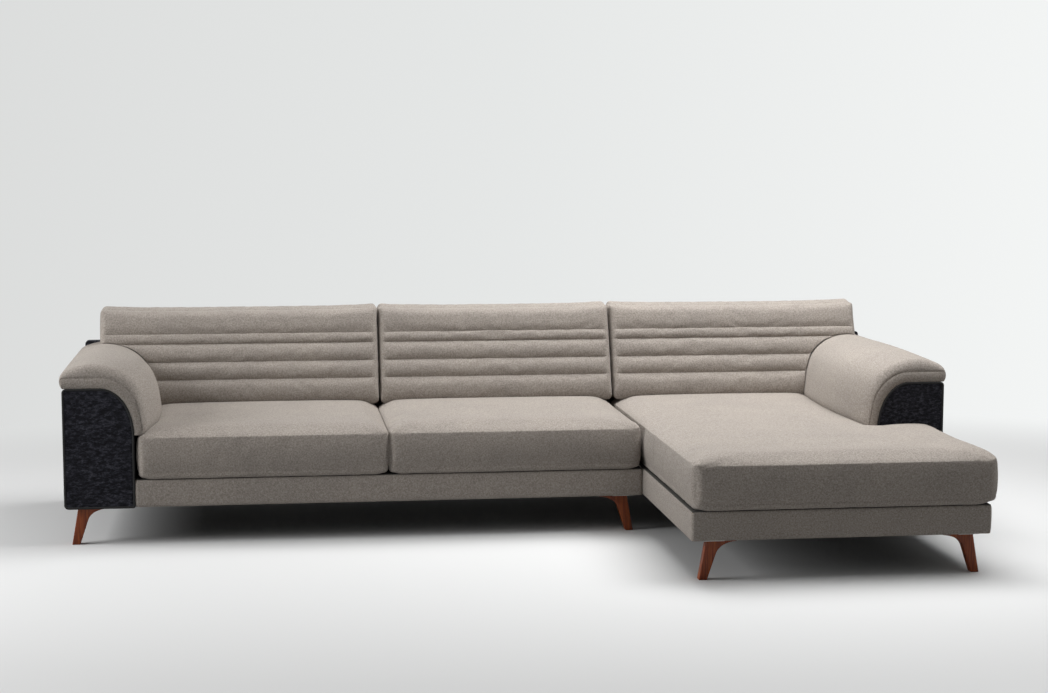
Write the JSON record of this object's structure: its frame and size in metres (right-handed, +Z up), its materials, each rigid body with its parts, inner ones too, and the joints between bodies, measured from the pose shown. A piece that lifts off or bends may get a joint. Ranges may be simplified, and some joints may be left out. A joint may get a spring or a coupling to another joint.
{
  "type": "sectional sofa with chaise",
  "caption": "Low sectional sofa in two fabrics with a chaise on its right, channelled back cushions and rolled arm pads.",
  "frame": {"origin": "bottom centre of the sofa's box, on the floor", "axes": "+X to the right seen from the front, towards the chaise; +Y to the back; +Z up"},
  "size_m": [3.2055, 1.715, 0.7884],
  "materials": {
    "cushion_fabric": "taupe melange wool-like weave",
    "tweed": "charcoal slub tweed",
    "leg_wood": "red-brown stained, satin lacquer",
    "frame_wood": "planed softwood and plywood, bare",
    "spring_steel": "drawn wire",
    "fitting_steel": "zinc plated",
    "lining": "black nonwoven cloth"
  },
  "bodies": {
    "sofa_module": {"left_arm_bottom_board": "frame_wood", "left_arm_cover": "tweed", "left_arm_front_board": "frame_wood", "left_arm_pad": "cushion_fabric", "left_arm_rear_board": "frame_wood", "sofa_back_cover": "tweed", "sofa_back_posts": "frame_wood", "sofa_back_top_rail": "frame_wood", "sofa_back_webbing": "lining", "sofa_center_rail": "frame_wood", "sofa_corner_blocks": "frame_wood", "sofa_dust_cover": "lining", "sofa_front_rail": "frame_wood", "sofa_hook_sockets": "fitting_steel", "sofa_left_rail": "frame_wood", "sofa_leg_front_left": "leg_wood", "sofa_leg_front_right": "leg_wood", "sofa_leg_plates": "fitting_steel", "sofa_leg_rear_left": "leg_wood", "sofa_leg_rear_right": "leg_wood", "sofa_leg_screws": "fitting_steel", "sofa_plinth_cover": "cushion_fabric", "sofa_rear_rail": "frame_wood", "sofa_right_rail": "frame_wood", "sofa_seat_deck": "lining", "sofa_seat_springs": "spring_steel"},
    "chaise_module": {"chaise_back_cover": "tweed", "chaise_back_posts": "frame_wood", "chaise_back_top_rail": "frame_wood", "chaise_back_webbing": "lining", "chaise_corner_blocks": "frame_wood", "chaise_cross_rail": "frame_wood", "chaise_dust_cover": "lining", "chaise_extension_rail": "frame_wood", "chaise_front_rail": "frame_wood", "chaise_hooks": "fitting_steel", "chaise_left_rail": "frame_wood", "chaise_leg_front_left": "leg_wood", "chaise_leg_front_right": "leg_wood", "chaise_leg_plates": "fitting_steel", "chaise_leg_rear_left": "leg_wood", "chaise_leg_rear_right": "leg_wood", "chaise_leg_screws": "fitting_steel", "chaise_plinth_cover": "cushion_fabric", "chaise_rear_rail": "frame_wood", "chaise_right_rail": "frame_wood", "chaise_seat_deck": "lining", "chaise_seat_springs": "spring_steel", "right_arm_bottom_board": "frame_wood", "right_arm_cover": "tweed", "right_arm_front_board": "frame_wood", "right_arm_pad": "cushion_fabric", "right_arm_rear_board": "frame_wood"},
    "seat_cushion_left": {"seat_cushion_left": "cushion_fabric"},
    "seat_cushion_center": {"seat_cushion_center": "cushion_fabric"},
    "chaise_cushion": {"chaise_cushion": "cushion_fabric"},
    "back_cushion_left": {"back_cushion_left": "cushion_fabric"},
    "back_cushion_center": {"back_cushion_center": "cushion_fabric"},
    "back_cushion_right": {"back_cushion_right": "cushion_fabric"}
  },
  "joints": [
    {"name": "chaise_lift", "type": "slide", "parent": "sofa_module", "child": "chaise_module", "axis": [0, 0, 1], "range_m": [0, 0.06]},
    {"name": "seat_cushion_left_pull", "type": "slide", "parent": "sofa_module", "child": "seat_cushion_left", "axis": [0, -1, 0], "range_m": [0, 0.25]},
    {"name": "seat_cushion_center_pull", "type": "slide", "parent": "sofa_module", "child": "seat_cushion_center", "axis": [0, -1, 0], "range_m": [0, 0.25]},
    {"name": "chaise_cushion_pull", "type": "slide", "parent": "chaise_module", "child": "chaise_cushion", "axis": [0, -1, 0], "range_m": [0, 0.25]},
    {"name": "back_cushion_left_lift", "type": "slide", "parent": "sofa_module", "child": "back_cushion_left", "axis": [0, 0, 1], "range_m": [0, 0.15]},
    {"name": "back_cushion_center_lift", "type": "slide", "parent": "sofa_module", "child": "back_cushion_center", "axis": [0, 0, 1], "range_m": [0, 0.15]},
    {"name": "back_cushion_right_lift", "type": "slide", "parent": "chaise_module", "child": "back_cushion_right", "axis": [0, 0, 1], "range_m": [0, 0.15]}
  ]
}
